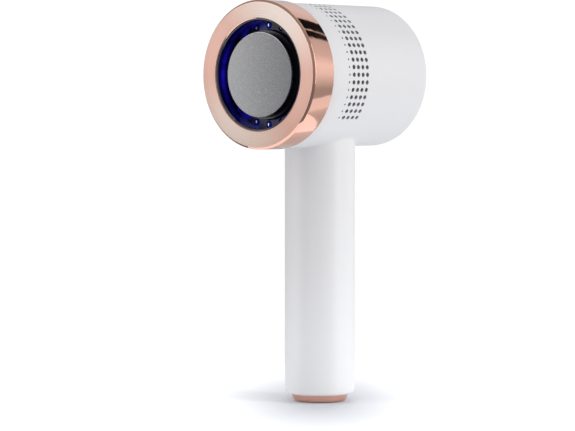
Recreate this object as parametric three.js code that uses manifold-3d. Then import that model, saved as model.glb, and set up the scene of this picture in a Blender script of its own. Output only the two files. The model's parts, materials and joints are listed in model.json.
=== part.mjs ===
// A cordless foot-care callus remover: a lit suction head with a spinning abrasive disc, on a tube handle.
// Millimetres, +Z up. The head's axis runs along Y, and its disc faces -Y. The origin is the centre of the
// foot's underside. Pieces that touch are kept FIT apart.
import * as THREE from 'three';
import { mergeVertices } from 'three/addons/utils/BufferGeometryUtils.js';
import Module from 'manifold-3d';

const wasm = await Module();
wasm.setup();

// ---------------------------------------------------------------- driving dimensions
const FIT = 0.3;
const AXIS_Z = 166.6;                 // height of the head's axis
const HEAD_FRONT = -48.5;             // y of the front ring's face; the handle's axis is at y = 0
const HANDLE_DEPTH = -HEAD_FRONT;     // how far behind that face the handle's axis is
const HEAD_LENGTH = 93.1;
const BARREL_R = 36.4;
const BARREL_BORE_R = 34.4;
const BARREL_FACETS = 60;             // one facet for each row of vents
const BARREL_EDGE_R = 4;              // rounding of the barrel's rear edge
const RING_R = 37.3;
const RING_LENGTH = 15;
const RING_OPENING_R = 27.9;
const TUBE_BORE_R = 27;               // lit wall of the suction channel
const DISC_R = 21.2;
const DISC_RIM_DEPTH = 1.5;
const DISC_RISE = 1.8;                // height of the disc's dome
const CORE_R = 22.3;                  // fixed housing behind the disc
const CORE_DEPTH = 5.8;
const HANDLE_R = 18;
const HANDLE_BORE_R = 16;
const HANDLE_BOTTOM_Z = 4;
const NECK_R = HANDLE_BORE_R - FIT;
const NECK_BOTTOM_Z = 122;
const HANDLE_TOP_Z = 140;             // before the barrel is cut out of it
const FOOT_TOP_R = 14.6;
const FOOT_BOTTOM_R = 12.5;
const FOOT_RECESS_R = 11.9;           // holds the foot's rubber pad
const VENT = { radius: 1.15, rows: 43, columns: 4, firstDepth: 31.8, pitch: 3.5 };
const GEAR = { module: 1, sun: 12, planet: 12, ring: 36, addendum: 0.8, dedendum: 1.1, backlash: 0.3 };
const PRESSURE_ANGLE = THREE.MathUtils.degToRad(20);
const PLANET_ANGLES = [90, 210, 330].map(THREE.MathUtils.degToRad);
const TIE_ANGLES = PLANET_ANGLES;
const TIE_RADIUS = 31;                // where the tie screws stand, from the axis
const TIE_HOLE_R = 1.5;
const PLANET_ORBIT_R = ((GEAR.sun + GEAR.planet) * GEAR.module) / 2;
const HEX_R = 4.2;                    // of the spindle's hexagonal ends, across the corners
const PIN_R = 1.5;                    // of the planets' pins
const GEARBOX_R = 20.5;
const SHAFT_R = 1.6;
const LED_RADIUS = 24.8;              // where the lamps stand, from the axis
const LED_SPREAD = THREE.MathUtils.degToRad(19);
const MOTOR_R = 13.85;
const MOTOR_SCREWS = { x: 9, hole: 1.6, head: 2.2, shank: 1.25 };
const FRAME_SCREWS = { x: 9.5, y: -2, hole: 1.5, head: 2.2, shank: 1.2 };
const LEDGE = [45.6, 47.2];           // stop inside the barrel, behind the fan
const BUTTON_Z = 104;
const BUTTON_R = 5.2;
const BEZEL = { inner: 5.6, outer: 6.6 };
const LIGHTS = { x: 3, z: BUTTON_Z - 13, radius: 1 };
const PORT_Z = 20;

// ---------------------------------------------------------------- materials
const finish = (color, roughness, metalness = 0, more = {}) =>
  new THREE.MeshStandardMaterial({ color, roughness, metalness, ...more });
const whiteShell = finish(0xeeeded, 0.42);
const roseGold = finish(0xe0a590, 0.16, 1);
const blueTube = finish(0x0a0a66, 0.12, 0, { transparent: true, opacity: 0.8, emissive: 0x07076a });
const blackPlastic = finish(0x121214, 0.4);
const greyPlastic = finish(0x77787a, 0.5);
const abrasive = finish(0x97979a, 0.95);
const acetal = finish(0xe6e2d6, 0.45);
const steel = finish(0xb4b6b9, 0.3, 1);
const blackOxide = finish(0x2b2c2e, 0.45, 1);
const magnetFerrite = finish(0x3a393a, 0.7);
const rubber = finish(0x1c1c1d, 0.85);
const felt = finish(0xb9b4a6, 1);
const foam = finish(0x4a4b50, 1);
const lampLens = finish(0xbfd0ff, 0.1, 0, { emissive: 0x3550ff });
const boardGreen = finish(0x12502c, 0.5);
const cellWrap = finish(0x2d6fae, 0.4);
const redWire = finish(0xb01818, 0.5);
const blackWire = finish(0x161616, 0.5);

// ---------------------------------------------------------------- solids
const turn = (angle) => new THREE.Matrix4().makeRotationY(angle);
const circlePoint = (radius, angle) =>
  new THREE.Vector2(radius * Math.cos(angle), radius * Math.sin(angle));

// A closed three.js geometry as a manifold-3d solid, facing outwards.
function solid(geometry) {
  const loose = geometry.index ? geometry.toNonIndexed() : geometry.clone();
  loose.deleteAttribute('normal');
  loose.deleteAttribute('uv');
  const merged = mergeVertices(loose, 1e-4);
  const kept = [];
  for (let i = 0; i < merged.index.count; i += 3) {
    const [a, b, c] = [0, 1, 2].map((k) => merged.index.getX(i + k));
    if (a !== b && b !== c && c !== a) kept.push(a, b, c);
  }
  const vertProperties = merged.attributes.position.array;
  const build = (triVerts) => new wasm.Manifold(new wasm.Mesh({ numProp: 3, vertProperties, triVerts }));
  const made = build(new Uint32Array(kept));
  return made.volume() > 0 ? made : build(new Uint32Array(kept.reverse()));
}

// The closed outline profile, as [radius, distance along the axis], turned about Y.
function turned(profile, segments = 32, phase = 0) {
  const points = profile.map(([r, d]) => new THREE.Vector2(r, d));
  if (profile[0][0] > 0 || profile.at(-1)[0] > 0) points.push(points[0].clone());
  return solid(new THREE.LatheGeometry(points, segments, phase));
}

// The same about Z.
function turnedUp(profile, segments = 32) {
  const points = profile.map(([r, z]) => new THREE.Vector2(r, z));
  if (profile[0][0] > 0 || profile.at(-1)[0] > 0) points.push(points[0].clone());
  return solid(new THREE.LatheGeometry(points, segments).rotateX(Math.PI / 2));
}

// A plain ring about Y, from depth a to depth b.
const collar = (inner, outer, a, b, segments = 32) =>
  turned([[inner, a], [outer, a], [outer, b], [inner, b]], segments);

// A rod along Y, from depth a to depth b, centred on (x, z).
function rod(radius, a, b, x = 0, z = 0, segments = 12) {
  const shape = new THREE.CylinderGeometry(radius, radius, b - a, segments);
  return solid(shape.translate(x, (a + b) / 2, z));
}

// A post along Z, from a to b, centred on (x, y).
function post(radius, a, b, x = 0, y = 0, segments = 12) {
  const shape = new THREE.CylinderGeometry(radius, radius, b - a, segments);
  return solid(shape.rotateX(Math.PI / 2).translate(x, y, (a + b) / 2));
}

function block([x0, x1], [y0, y1], [z0, z1]) {
  const shape = new THREE.BoxGeometry(x1 - x0, y1 - y0, z1 - z0);
  return solid(shape.translate((x0 + x1) / 2, (y0 + y1) / 2, (z0 + z1) / 2));
}

// A flat outline in x and z, from depth a to depth b.
function slab(shape, a, b) {
  const thick = new THREE.ExtrudeGeometry(shape, { depth: b - a, bevelEnabled: false, curveSegments: 12 });
  return solid(thick.rotateX(Math.PI / 2).translate(0, b, 0));
}

const outline = (points) => new THREE.Shape(points);
const circleOutline = (radius, sides) =>
  Array.from({ length: sides }, (_, i) => circlePoint(radius, (i / sides) * 2 * Math.PI));

// Part of a flat ring, between two angles from +X towards +Z.
function sector(inner, outer, from, to, steps) {
  const angles = Array.from({ length: steps + 1 }, (_, i) => from + ((to - from) * i) / steps);
  const outside = angles.map((t) => circlePoint(outer, t));
  const inside = angles.map((t) => circlePoint(inner, t)).reverse();
  return outline([...outside, ...inside]);
}

function part(name, made, material) {
  const { vertProperties, triVerts } = made.getMesh();
  const geometry = new THREE.BufferGeometry();
  geometry.setAttribute('position', new THREE.BufferAttribute(vertProperties, 3));
  geometry.setIndex(new THREE.BufferAttribute(triVerts, 1));
  const mesh = new THREE.Mesh(geometry, material);
  mesh.name = name;
  return mesh;
}

// A pan-head screw along Y: its head starts at depth a, and its shank ends at depth b.
function screwAlongY(headR, headHeight, shankR, a, b, x, z) {
  return rod(headR, a, a + headHeight, x, z).add(rod(shankR, a + headHeight - 0.1, b, x, z));
}

// ---------------------------------------------------------------- head: shell and front cup
// Everything in the head stands in its own frame: the centre of the front ring's face, with y as depth.
function barrelShell() {
  const back = HEAD_LENGTH;
  const mouth = RING_LENGTH + FIT;
  const wall = BARREL_R - BARREL_BORE_R;
  const edge = [0, 30, 60, 90].map((degrees) => {
    const t = THREE.MathUtils.degToRad(degrees);
    const from = BARREL_R - BARREL_EDGE_R;
    return [from + BARREL_EDGE_R * Math.cos(t), back - BARREL_EDGE_R + BARREL_EDGE_R * Math.sin(t)];
  });
  const ledgeR = 32.8;
  const [front, rear] = LEDGE;
  const ledge = [[BARREL_BORE_R, rear], [ledgeR, rear], [ledgeR, front], [BARREL_BORE_R, front]];
  const inside = [[0, back - wall], [BARREL_BORE_R, back - wall], ...ledge];
  const outside = [[BARREL_BORE_R, mouth], [BARREL_R, mouth], ...edge, [0, back + 0.4]];
  const shell = turned([...inside, ...outside], BARREL_FACETS, Math.PI / BARREL_FACETS);

  // The neck: a cup under the barrel that plugs into the handle, with a wire hole and two screw bosses.
  const z = (height) => height - AXIS_Z;
  const boreProfile = [[0, 20], [BARREL_BORE_R, 20], [BARREL_BORE_R, 80], [0, 80]];
  const bore = turned(boreProfile, BARREL_FACETS, Math.PI / BARREL_FACETS);
  const socket = post(NECK_R, z(NECK_BOTTOM_Z), z(138), 0, HANDLE_DEPTH, 24);
  const hollow = post(13.2, z(NECK_BOTTOM_Z + 2.5), z(150), 0, HANDLE_DEPTH, 24);
  const wires = post(4.5, z(NECK_BOTTOM_Z - 1), z(130), 0, HANDLE_DEPTH + 4, 10);
  let body = shell.add(socket.subtract(bore)).subtract(hollow).subtract(wires);
  const bossDepth = HANDLE_DEPTH + FRAME_SCREWS.y;
  for (const x of [-FRAME_SCREWS.x, FRAME_SCREWS.x]) {
    const boss = post(3.2, z(NECK_BOTTOM_Z + 1), z(136), x, bossDepth, 10).subtract(bore);
    body = body.add(boss).subtract(post(FRAME_SCREWS.hole, z(NECK_BOTTOM_Z - 1), z(130), x, bossDepth, 8));
  }
  const pitch = (2 * Math.PI) / BARREL_FACETS;
  for (let row = 0; row < VENT.rows; row++) {
    const angle = (row - (VENT.rows - 1) / 2) * pitch;
    for (let column = 0; column < VENT.columns; column++) {
      const hole = new THREE.CylinderGeometry(VENT.radius, VENT.radius, 6, 6).rotateX(Math.PI / 2);
      hole.translate(0, VENT.firstDepth + column * VENT.pitch, BARREL_BORE_R + 1);
      body = body.subtract(solid(hole.applyMatrix4(turn(angle))));
    }
  }
  return part('barrel_shell', body, whiteShell);
}

const RING_WALL = 1.3;

function frontRing() {
  const face = 1.5;
  const chamfer = 1;
  return part('front_ring', turned([
    [RING_OPENING_R, 0], [RING_R - chamfer, 0], [RING_R, chamfer], [RING_R, RING_LENGTH],
    [RING_R - RING_WALL, RING_LENGTH], [RING_R - RING_WALL, face], [RING_OPENING_R, face],
  ], BARREL_FACETS, Math.PI / BARREL_FACETS), roseGold);
}

function lightTube() {
  const lip = RING_OPENING_R - FIT;
  return part('light_tube', turned([
    [TUBE_BORE_R, 0.6], [lip, 0.6], [lip, 1.8], [28.5, 1.8], [28.5, 8.7], [TUBE_BORE_R, 8.7],
  ], 40), blueTube);
}

// The cup behind the channel: its floor has suction slots at the sides and lamp windows at top and bottom.
function dustCup() {
  const floor = [9, 10.4];
  const skirt = { inner: 32.2, outer: 33.8, end: 19.3 };
  const groove = { radius: 33, from: 16.9, to: 18.2 };
  const bore = CORE_R + 0.4;
  const edge = RING_R - RING_WALL - FIT;
  let cup = turned([
    [bore, floor[0]], [edge, floor[0]], [edge, floor[1]], [skirt.outer, floor[1]],
    [skirt.outer, groove.from], [groove.radius, groove.from], [groove.radius, groove.to],
    [skirt.outer, groove.to],
    [skirt.outer, skirt.end], [skirt.inner, skirt.end], [skirt.inner, floor[1]], [bore, floor[1]],
  ], 32);
  const slotAngles = [-47, -15, 17].map(THREE.MathUtils.degToRad);
  const slotSpan = THREE.MathUtils.degToRad(30);
  for (const side of [0, Math.PI]) {
    for (const start of slotAngles) {
      const slot = sector(23.8, 26.6, side + start, side + start + slotSpan, 3);
      cup = cup.subtract(slab(slot, floor[0] - 1, floor[1] + 1));
    }
  }
  for (const { x, z } of lampPlaces()) {
    cup = cup.subtract(rod(1.9, floor[0] - 1, floor[1] + 1, x, z, 8));
  }
  return part('dust_cup', cup, blackPlastic);
}

const cupGasket = () => part('cup_gasket', collar(33.3, 34.1, 17.2, 17.9, 28), rubber);

// ---------------------------------------------------------------- head: lamps
function lampPlaces() {
  const places = [];
  for (const [row, middle] of [['top', Math.PI / 2], ['bottom', -Math.PI / 2]]) {
    for (const step of [-1, 0, 1]) {
      const { x, y } = circlePoint(LED_RADIUS, middle + step * LED_SPREAD);
      places.push({ name: `led_${row}_${step + 2}`, x, z: y });
    }
  }
  return places;
}

function lamps() {
  return lampPlaces().map(({ name, x, z }) => {
    const dome = turned([[0, 8.4], [1.1, 8.8], [1.5, 10], [1.5, 11.7], [0, 11.7]], 8);
    return part(name, dome.translate([x, 0, z]), lampLens);
  });
}

function ledBoard() {
  const inner = CORE_R + FIT;
  const span = THREE.MathUtils.degToRad(34);
  let board = collar(inner, 24, 12, 13.2, 28);
  for (const middle of [Math.PI / 2, -Math.PI / 2]) {
    board = board.add(slab(sector(23.5, 27, middle - span, middle + span, 6), 12, 13.2));
  }
  return part('led_board', board, boardGreen);
}

// ---------------------------------------------------------------- head: core, filter and gearbox
// The fixed core: a can round the gearbox, with a pocket for the disc's hub, on a flange with air windows.
function frontChassis() {
  const flange = [24, 26.6];
  let body = turned([
    [12.6, CORE_DEPTH], [CORE_R, CORE_DEPTH], [CORE_R, flange[0]], [34.1, flange[0]], [34.1, flange[1]],
    [20.9, flange[1]], [20.9, 7.3], [13.9, 7.3], [13.9, 9.7], [9.4, 9.7], [9.4, 13], [7.9, 13], [7.9, 9.7],
    [6.2, 9.7], [6.2, 8.3], [12.6, 8.3],
  ], 28);
  const bridge = 0.22;                // half the angle of solid flange at each tie screw
  const sinkR = 2.6;
  for (const angle of TIE_ANGLES) {
    const window = sector(25, 32, angle + bridge, angle + (2 * Math.PI) / 3 - bridge, 6);
    const { x, y: z } = circlePoint(TIE_RADIUS, angle);
    body = body.subtract(slab(window, flange[0] - 1, flange[1] + 1));
    body = body.subtract(rod(sinkR, flange[0] - 1, flange[0] + 1.9, x, z, 8));
    body = body.subtract(rod(TIE_HOLE_R, flange[0], flange[1] + 1, x, z, 8));
  }
  return part('front_chassis', body, blackPlastic);
}

const spindleSeal = () => part('spindle_seal', collar(4.3, 5.9, 8.5, 9.6, 16), felt);
const spindleBearing = () => part('spindle_bearing', collar(4.3, 7.6, 10, 12.8, 18), steel);

// The filter plugs into the back of the cup, and clears the lamps' board when the cup is pulled off.
function filterFrame() {
  const spokes = 6;
  let frame = turned([
    [31, 17.6], [31.9, 17.6], [31.9, 19.6], [34, 19.6], [34, 23.7], [32.6, 23.7], [32.6, 20.2], [31, 20.2],
  ], 28).add(collar(27.4, 28.2, 20.2, 23.7, 24));
  for (let i = 0; i < spokes; i++) {
    const spoke = new THREE.BoxGeometry(5.4, 0.8, 1.4).translate(30.4, 23.3, 0);
    frame = frame.add(solid(spoke.applyMatrix4(turn(((i + 0.5) * 2 * Math.PI) / spokes))));
  }
  return part('filter_frame', frame, greyPlastic);
}

const filterFoam = () => part('filter_foam', collar(28.5, 32.3, 20.5, 22.6, 24), foam);

// Half the angle that a tooth fills at a radius: the involute's, less its share of the backlash.
function halfTooth(teeth, radius, slack) {
  const pitchR = (teeth * GEAR.module) / 2;
  const involute = (angle) => Math.tan(angle) - angle;
  const baseR = pitchR * Math.cos(PRESSURE_ANGLE);
  const here = involute(Math.acos(Math.min(1, baseR / radius)));
  return Math.PI / (2 * teeth) + involute(PRESSURE_ANGLE) - here - slack / (2 * pitchR);
}

// A toothed outline: a tooth is centred on the angle called phase.
function toothed(teeth, innerR, outerR, phase, slack) {
  const points = [];
  for (let i = 0; i < teeth; i++) {
    const middle = phase + (i * 2 * Math.PI) / teeth;
    const foot = halfTooth(teeth, innerR, slack);
    const tip = halfTooth(teeth, outerR, slack);
    for (const [radius, offset] of [[innerR, -foot], [outerR, -tip], [outerR, tip], [innerR, foot]]) {
      points.push(circlePoint(radius, middle + offset));
    }
  }
  return points;
}

function gear(name, teeth, phase, boreR, [a, b], x = 0, z = 0) {
  const pitchR = (teeth * GEAR.module) / 2;
  const [inner, outer] = [pitchR - GEAR.dedendum * GEAR.module, pitchR + GEAR.addendum * GEAR.module];
  const shape = outline(toothed(teeth, inner, outer, phase, GEAR.backlash / 2));
  shape.holes.push(new THREE.Path(circleOutline(boreR, 8)));
  return part(name, slab(shape, a, b).translate([x, 0, z]), acetal);
}

const sunGear = () => gear('sun_gear', GEAR.sun, 0, SHAFT_R + FIT, [15.5, 20.4]);

// The teeth of the sun point at each planet, so a planet has a gap there, and another towards the ring.
function planetGears() {
  const boreR = PIN_R + FIT;
  return PLANET_ANGLES.map((angle, i) => {
    const { x, y: z } = circlePoint(PLANET_ORBIT_R, angle);
    const phase = angle + Math.PI / GEAR.planet;
    return gear(`planet_gear_${i + 1}`, GEAR.planet, phase, boreR, [15.5, 20.3], x, z);
  });
}

function ringGear() {
  const pitchR = (GEAR.ring * GEAR.module) / 2;
  const [inner, outer] = [pitchR - GEAR.addendum * GEAR.module, pitchR + GEAR.dedendum * GEAR.module];
  const shape = outline(circleOutline(GEARBOX_R, 24));
  const phase = PLANET_ANGLES[0] + Math.PI / GEAR.ring;
  shape.holes.push(new THREE.Path(toothed(GEAR.ring, inner, outer, phase, -GEAR.backlash / 2)));
  return part('ring_gear', slab(shape, 15.4, 20.6), acetal);
}

function gearboxBackplate() {
  return part('gearbox_backplate', collar(3.9, GEARBOX_R, 21, 22.6, 20), greyPlastic);
}

const shaftBushing = () => part('shaft_bushing', collar(SHAFT_R + FIT, 3.6, 20.9, 23.2, 12), steel);

function planetCarrier() {
  let carrier = rod(15.6, 13.4, 15, 0, 0, 24).subtract(rod(HEX_R + 0.35, 12, 16, 0, 0, 6));
  for (const angle of PLANET_ANGLES) {
    const { x, y: z } = circlePoint(PLANET_ORBIT_R, angle);
    carrier = carrier.add(rod(PIN_R, 14.5, 20.3, x, z, 8));
  }
  return part('planet_carrier', carrier, acetal);
}

// The spindle is round in its bearing, and hexagonal where it drives the disc and is driven by the carrier.
function driveSpindle() {
  const nose = rod(HEX_R, 4.2, 8.4, 0, 0, 6);
  const journal = rod(4, 8.2, 13.2, 0, 0, 16);
  const tail = rod(HEX_R, 13, 15, 0, 0, 6);
  return part('drive_spindle', nose.add(journal).add(tail), steel);
}

// ---------------------------------------------------------------- head: abrasive disc
const domeDepth = (radius) => DISC_RIM_DEPTH - DISC_RISE * (1 - (radius / DISC_R) ** 2);

function abrasivePad() {
  const skin = 0.9;
  const radii = [0, 7, 13, 17.5, DISC_R];
  const front = radii.map((r) => [r, domeDepth(r)]);
  const back = [[DISC_R - 0.2, DISC_RIM_DEPTH + skin], [13, domeDepth(13) + skin], [0, domeDepth(0) + skin]];
  return part('abrasive_pad', turned([...front, ...back], 40), abrasive);
}

function discPlate() {
  const under = 1.2;
  const radii = [0, 13, DISC_R - 0.6];
  const front = radii.map((r) => [r, domeDepth(r) + under]);
  const hub = [[20.6, 3.4], [9.7, 3.8], [9.7, 6.4], [8.7, 7.4], [0, 7.4]];
  const plate = turned([...front, ...hub], 28).subtract(rod(HEX_R + 0.45, 3.9, 8, 0, 0, 6));
  return part('disc_plate', plate, greyPlastic);
}

// ---------------------------------------------------------------- head: fan and motor
function fanShroud() {
  let shroud = collar(12.5, 34.1, 28.4, 29.8, 28);
  for (const angle of TIE_ANGLES) {
    const { x, y: z } = circlePoint(TIE_RADIUS, angle);
    shroud = shroud.subtract(rod(TIE_HOLE_R, 27, 31, x, z, 8));
  }
  return part('fan_shroud', shroud, greyPlastic);
}

function fanImpeller() {
  const disc = collar(SHAFT_R + FIT, 27, 39.8, 41.2, 28);
  const hub = collar(SHAFT_R + FIT, 5, 31, 41.2, 12);
  const blades = 7;
  const steps = 3;
  const sweep = THREE.MathUtils.degToRad(38);
  const [innerR, outerR, thick] = [11, 26.5, 1.2];
  let wheel = disc.add(hub);
  for (let i = 0; i < blades; i++) {
    const start = (i * 2 * Math.PI) / blades;
    const side = (offset) => Array.from({ length: steps + 1 }, (_, k) => {
      const radius = innerR + ((outerR - innerR) * k) / steps;
      return circlePoint(radius, start - sweep * (k / steps) ** 1.3 + offset / radius);
    });
    const blade = outline([...side(0), ...side(thick).reverse()]);
    wheel = wheel.add(slab(blade, 30.6, 40.2));
  }
  return part('fan_impeller', wheel, blackPlastic);
}

// The plate behind the fan carries the motor, and its posts take the tie screws.
function fanBackplate() {
  let plate = collar(6.3, 34.1, 43.4, 45.2, 28);
  for (const angle of TIE_ANGLES) {
    const { x, y: z } = circlePoint(TIE_RADIUS, angle);
    plate = plate.add(rod(2.8, 30.1, 44, x, z, 10)).subtract(rod(TIE_HOLE_R, 29, 42, x, z, 8));
  }
  for (const x of [-MOTOR_SCREWS.x, MOTOR_SCREWS.x]) {
    plate = plate.subtract(rod(MOTOR_SCREWS.hole, 42, 46, x, 0, 8));
  }
  return part('fan_backplate', plate, greyPlastic);
}

function tieScrews() {
  return TIE_ANGLES.map((angle, i) => {
    const { x, y: z } = circlePoint(TIE_RADIUS, angle);
    return part(`tie_screw_${i + 1}`, screwAlongY(2.3, 1.4, 1.2, 24.2, 40, x, z), blackOxide);
  });
}

function motorScrews() {
  const { head: headR, shank } = MOTOR_SCREWS;
  return [-MOTOR_SCREWS.x, MOTOR_SCREWS.x].map((x, i) =>
    part(`motor_screw_${i + 1}`, screwAlongY(headR, 1.2, shank, 41.9, 48.2, x, 0), blackOxide));
}

function motorCan() {
  let can = turned([
    [2.2, 44.2], [5, 44.2], [5, 46], [MOTOR_R, 46], [MOTOR_R, 78], [13, 78], [13, 47.3], [2.2, 47.3],
  ], 24);
  for (const x of [-MOTOR_SCREWS.x, MOTOR_SCREWS.x]) {
    can = can.subtract(rod(MOTOR_SCREWS.hole, 45, 49, x, 0, 8));
  }
  return part('motor_can', can, steel);
}

function motorMagnets() {
  const half = 1.15;                  // half the angle of each magnet
  return [0, Math.PI].map((side, i) => {
    const magnet = slab(sector(10.8, 12.6, side - half, side + half, 5), 50, 74);
    return part(`motor_magnet_${i + 1}`, magnet, magnetFerrite);
  });
}

// The end cap carries the brushes and two solder tabs.
function motorEndCap() {
  let cap = collar(1.9, 12.7, 76, 79.5, 20).add(collar(1.9, MOTOR_R, 78.3, 79.5, 20));
  for (const x of [-6, 6]) cap = cap.add(block([x - 1.2, x + 1.2], [79.2, 83], [-0.3, 0.3]));
  return part('motor_end_cap', cap, blackPlastic);
}

const motorShaft = () => part('motor_shaft', rod(SHAFT_R, 15.2, 77.5, 0, 0, 12), steel);

function rotorCore() {
  const slots = 5;
  let core = collar(SHAFT_R + FIT, 10.3, 52, 72, 20);
  for (let i = 0; i < slots; i++) {
    const slot = new THREE.BoxGeometry(2, 24, 6).translate(0, 62, 9);
    core = core.subtract(solid(slot.applyMatrix4(turn((i * 2 * Math.PI) / slots))));
  }
  return part('rotor_core', core, blackOxide);
}

// The two leads run from the board, up through the neck and round behind the motor to its tabs.
function motorLead(name, side, material) {
  const route = [
    [2, 7.4, 108], [2, 6, 114], [2, 4, 120], [2, 4, 128], [2.4, 8, 138], [3, 17, 145],
    [4, 28, 147.5], [5.5, 37, 151], [6, 40, 158], [6, 39.2, 164.2], [6, 35.2, AXIS_Z],
  ].map(([x, y, z]) => new THREE.Vector3(side * x, y - HEAD_FRONT, z - AXIS_Z));
  const section = outline(circleOutline(0.8, 5));
  const path = new THREE.CatmullRomCurve3(route);
  const lead = new THREE.ExtrudeGeometry(section, { steps: 20, extrudePath: path });
  return part(name, solid(lead), material);
}

// ---------------------------------------------------------------- handle
function handleShell() {
  let shell = turnedUp([
    [FOOT_TOP_R + FIT, HANDLE_BOTTOM_Z], [16.6, HANDLE_BOTTOM_Z], [17.5, 4.4], [HANDLE_R, 5.4],
    [HANDLE_R, HANDLE_TOP_Z], [HANDLE_BORE_R, HANDLE_TOP_Z], [HANDLE_BORE_R, 5.9], [FOOT_TOP_R + FIT, 5.9],
  ], 40);
  const reach = 60;
  const saddleR = BARREL_R + FIT;
  const barrel = turned([[0, -reach], [saddleR, -reach], [saddleR, reach], [0, reach]], BARREL_FACETS,
    Math.PI / BARREL_FACETS);
  shell = shell.subtract(barrel.translate([0, 0, AXIS_Z]));
  shell = shell.subtract(rod(BEZEL.outer + FIT, 10, 20, 0, BUTTON_Z, 20));
  for (const x of [-LIGHTS.x, LIGHTS.x]) {
    shell = shell.subtract(rod(LIGHTS.radius + FIT, 10, 20, x, LIGHTS.z, 8));
  }
  shell = shell.subtract(slotAlongY(9.6, 4, 10, 20, PORT_Z));
  return part('handle_shell', shell, whiteShell);
}

// A slot with round ends, cut along Y.
function slotAlongY(width, height, a, b, z) {
  const r = height / 2;
  const half = width / 2 - r;
  const end = (sign) => Array.from({ length: 5 }, (_, i) => {
    const t = ((i - 2) / 4) * Math.PI;
    return new THREE.Vector2(sign * (half + r * Math.cos(t)), z + sign * r * Math.sin(t));
  });
  return slab(outline([...end(1), ...end(-1)]), a, b);
}

function baseFoot() {
  const foot = turnedUp([
    [0, 1.5], [FOOT_RECESS_R, 1.5], [FOOT_RECESS_R, 0.25], [FOOT_BOTTOM_R, 0.25], [12.9, 0.5], [14.1, 2.8],
    [FOOT_TOP_R, 3.9], [FOOT_TOP_R, 7.6], [0, 7.6],
  ], 36);
  const screwHole = post(3.1, 1, 3.9, 0, 0, 12).add(post(1.7, 3, 9, 0, 0, 8));
  return part('base_foot', foot.subtract(screwHole), roseGold);
}

function footPad() {
  const r = FOOT_RECESS_R - FIT;
  return part('foot_pad', turnedUp([[0, 0], [r - 0.3, 0], [r, 0.3], [r, 1.2], [0, 1.2]], 32), rubber);
}

function footScrew() {
  return part('foot_screw', post(2.8, 1.8, 3.6).add(post(1.4, 3.5, 12.6, 0, 0, 8)), blackOxide);
}

// A trough in front of the cell, between a bottom disc with a screw boss and a top flange.
function handleFrame() {
  const r = NECK_R - FIT;
  const trough = turnedUp([[13.6, 9], [r, 9], [r, 119], [13.6, 119]], 24);
  const front = block([-20, 20], [-20, 4], [0, HANDLE_TOP_Z]);
  let frame = trough.intersect(front);
  const cellEnds = [[34, 36.4], [104.6, 107]];
  for (const [a, b] of cellEnds) frame = frame.add(post(r, a, b, 0, 0, 24).intersect(front));
  const flange = post(r, 118, 121.7, 0, 0, 24);
  const disc = post(r, 8, 10.4, 0, 0, 24);
  frame = frame.add(flange).add(disc).add(post(4, 10, 15, 0, 0, 10));
  frame = frame.subtract(post(1.7, 7, 13.2, 0, 0, 8)).subtract(post(4.5, 117, 123, 0, 4));
  for (const x of [-FRAME_SCREWS.x, FRAME_SCREWS.x]) {
    frame = frame.subtract(post(FRAME_SCREWS.hole, 117, 123, x, FRAME_SCREWS.y, 8));
  }
  return part('handle_frame', frame, greyPlastic);
}

function frameScrews() {
  const { y, head: headR, shank } = FRAME_SCREWS;
  return [-FRAME_SCREWS.x, FRAME_SCREWS.x].map((x, i) => {
    const screw = post(headR, 116.2, 117.7, x, y, 10).add(post(shank, 117.6, 129, x, y, 8));
    return part(`frame_screw_${i + 1}`, screw, blackOxide);
  });
}

function batteryCell() {
  return part('battery_cell', turnedUp([
    [0, 36.8], [8.6, 36.8], [9.2, 37.4], [9.2, 101.6], [8.6, 102.2], [3.2, 102.2], [3.2, 104], [0, 104],
  ], 20).translate([0, -3.5, 0]), cellWrap);
}

const controlBoard = () => part('control_board', block([-11, 11], [8.4, 10], [12, 112]), boardGreen);

function tactSwitch() {
  const body = block([-3, 3], [10.3, 13.4], [BUTTON_Z - 3, BUTTON_Z + 3]);
  return part('tact_switch', body.add(rod(1.75, 13, 14.3, 0, BUTTON_Z)), blackPlastic);
}

function chargeSocket() {
  const shell = slotAlongY(8.9, 3.3, 10.3, 17.3, PORT_Z).subtract(slotAlongY(8.1, 2.5, 11.5, 18, PORT_Z));
  const tongue = block([-3.2, 3.2], [11, 16.6], [PORT_Z - 0.35, PORT_Z + 0.35]);
  return part('charge_socket', shell.add(tongue), steel);
}

function speedIndicator() {
  let pipe = block([-4.2, 4.2], [10.4, 12], [LIGHTS.z - 1.2, LIGHTS.z + 1.2]);
  for (const x of [-LIGHTS.x, LIGHTS.x]) pipe = pipe.add(rod(LIGHTS.radius, 11.5, 17.7, x, LIGHTS.z, 10));
  return part('speed_indicator', pipe, lampLens);
}

// The button and its bezel follow the curve of the handle.
const proudOfHandle = (height) => post(HANDLE_R + height, BUTTON_Z - 10, BUTTON_Z + 10, 0, 0, 60);

function buttonBezel() {
  const ring = collar(BEZEL.inner, BEZEL.outer, 14.4, 20, 24).translate([0, 0, BUTTON_Z]);
  return part('button_bezel', ring.intersect(proudOfHandle(0.35)), roseGold);
}

function powerButton() {
  const cap = rod(BUTTON_R, 15.2, 20, 0, BUTTON_Z, 24);
  return part('power_button', cap.intersect(proudOfHandle(0.9)), roseGold);
}

// ---------------------------------------------------------------- assembly
const head = new THREE.Group();
head.position.set(0, HEAD_FRONT, AXIS_Z);
head.add(
  barrelShell(), frontRing(), lightTube(), dustCup(), cupGasket(), ledBoard(), ...lamps(), frontChassis(),
  spindleSeal(), spindleBearing(), filterFrame(), filterFoam(), sunGear(), ...planetGears(), ringGear(),
  gearboxBackplate(), shaftBushing(), planetCarrier(), driveSpindle(), abrasivePad(), discPlate(),
  fanShroud(), fanImpeller(), fanBackplate(), ...tieScrews(), ...motorScrews(), motorCan(),
  ...motorMagnets(), motorEndCap(), motorShaft(), rotorCore(),
  motorLead('motor_lead_red', 1, redWire), motorLead('motor_lead_black', -1, blackWire),
);

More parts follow.
